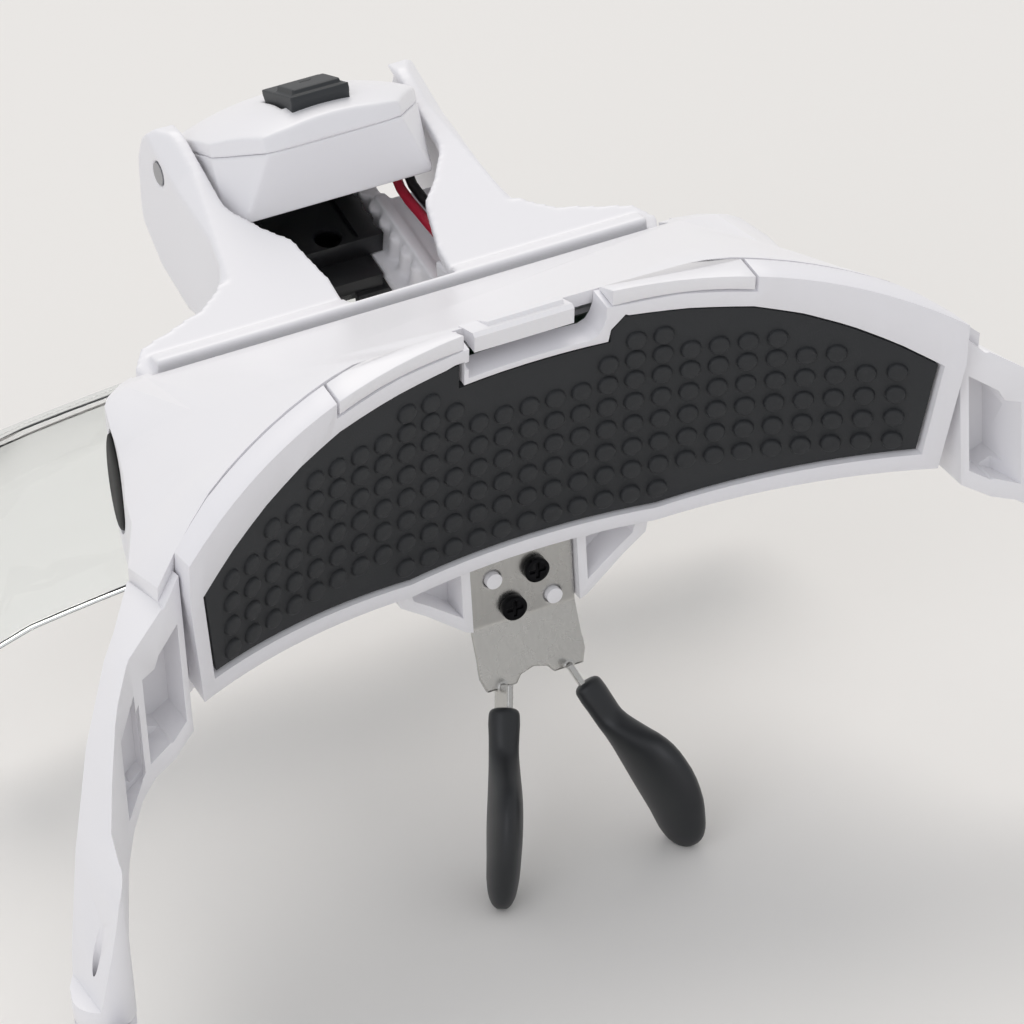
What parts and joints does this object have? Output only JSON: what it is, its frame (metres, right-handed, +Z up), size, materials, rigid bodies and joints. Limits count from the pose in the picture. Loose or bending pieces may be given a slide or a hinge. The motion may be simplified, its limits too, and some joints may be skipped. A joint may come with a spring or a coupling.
{
  "type": "lighted brow magnifier",
  "caption": "Clear magnifying lens on a sliding carriage under a tilting lamp, on a white brow housing with a forehead pad, nose pads and folding side legs.",
  "frame": {"origin": "middle of the footprint on the table, under the brow housing", "axes": "+X to the wearer's right, +Y away from the face, +Z up"},
  "size_m": [0.1532, 0.2206, 0.0777],
  "materials": {
    "white_shell": "smooth satin moulding",
    "cover_shell": "fine matt moulding",
    "pad_rubber": "matt, with round bumps",
    "steel_plate": "bead-blasted",
    "screw_steel": "plain",
    "black_screw": "black oxide on steel",
    "black_gloss": "polished",
    "black_moulding": "fine spark texture",
    "button_rubber": "satin",
    "cell_case": "printed sleeve, left plain",
    "contact_metal": "plated",
    "board": "solder mask",
    "led_epoxy": "cast epoxy",
    "clear_window": "clear",
    "clear_lens": "polished clear acrylic",
    "red_sleeve": "wire insulation",
    "black_sleeve": "wire insulation",
    "leg_shell": "satin moulding",
    "soft_black": "soft, matt"
  },
  "bodies": {
    "housing": {"brow_housing": "white_shell", "nose_bracket": "steel_plate", "nose_pad_left": "soft_black", "nose_pad_right": "soft_black", "nose_screws": "black_screw", "side_cap_left": "black_gloss", "side_cap_right": "black_gloss", "cell_left": "cell_case", "cell_right": "cell_case", "cell_top": "cell_case", "contact_plates": "contact_metal", "contact_leaves": "contact_metal", "lamp_bracket": "white_shell", "bracket_screws": "screw_steel", "red_wire": "red_sleeve", "black_wire": "black_sleeve", "hinge_pin_left": "screw_steel", "hinge_pin_right": "screw_steel"},
    "cover": {"battery_cover": "cover_shell", "forehead_pad": "pad_rubber"},
    "lamp": {"lamp_body": "white_shell", "lamp_cover": "white_shell", "switch_body": "black_moulding", "lamp_board": "board", "lamp_leds": "led_epoxy", "lamp_window": "clear_window", "lamp_pins": "screw_steel"},
    "button": {"switch_button": "button_rubber"},
    "carriage": {"lens_carriage": "black_moulding", "lens_clip": "black_moulding", "carriage_screw": "black_screw"},
    "lens_plate": {"lens": "clear_lens"},
    "left_leg": {"leg_left": "leg_shell", "ear_sleeve_left": "soft_black"},
    "right_leg": {"leg_right": "leg_shell", "ear_sleeve_right": "soft_black"}
  },
  "joints": [
    {"name": "cover_pull", "type": "slide", "parent": "housing", "child": "cover", "axis": [0, -0.9882, -0.153], "range_m": [0, 0.018]},
    {"name": "lamp_tilt", "type": "hinge", "parent": "housing", "child": "lamp", "pos_m": [0, 0.10284, 0.0669], "axis": [1, 0, 0], "range_deg": [-3, 19], "deforming": ["red_wire", "black_wire"]},
    {"name": "switch_press", "type": "slide", "parent": "lamp", "child": "button", "axis": [0, -0.3256, -0.9455], "range_m": [0, 0.0008], "stiffness_N_per_m": 400},
    {"name": "lens_slide", "type": "slide", "parent": "housing", "child": "carriage", "axis": [0, 0.9711, 0.2385], "range_m": [-0.009, 0.004]},
    {"name": "lens_release", "type": "slide", "parent": "carriage", "child": "lens_plate", "axis": [0, 0, -1], "range_m": [0, 0.008]},
    {"name": "left_leg_fold", "type": "hinge", "parent": "housing", "child": "left_leg", "pos_m": [-0.073, 0.00164, 0.0202], "axis": [0, 0, 1], "range_deg": [0, 72]},
    {"name": "right_leg_fold", "type": "hinge", "parent": "housing", "child": "right_leg", "pos_m": [0.073, 0.00164, 0.0202], "axis": [0, 0, -1], "range_deg": [0, 87]}
  ]
}
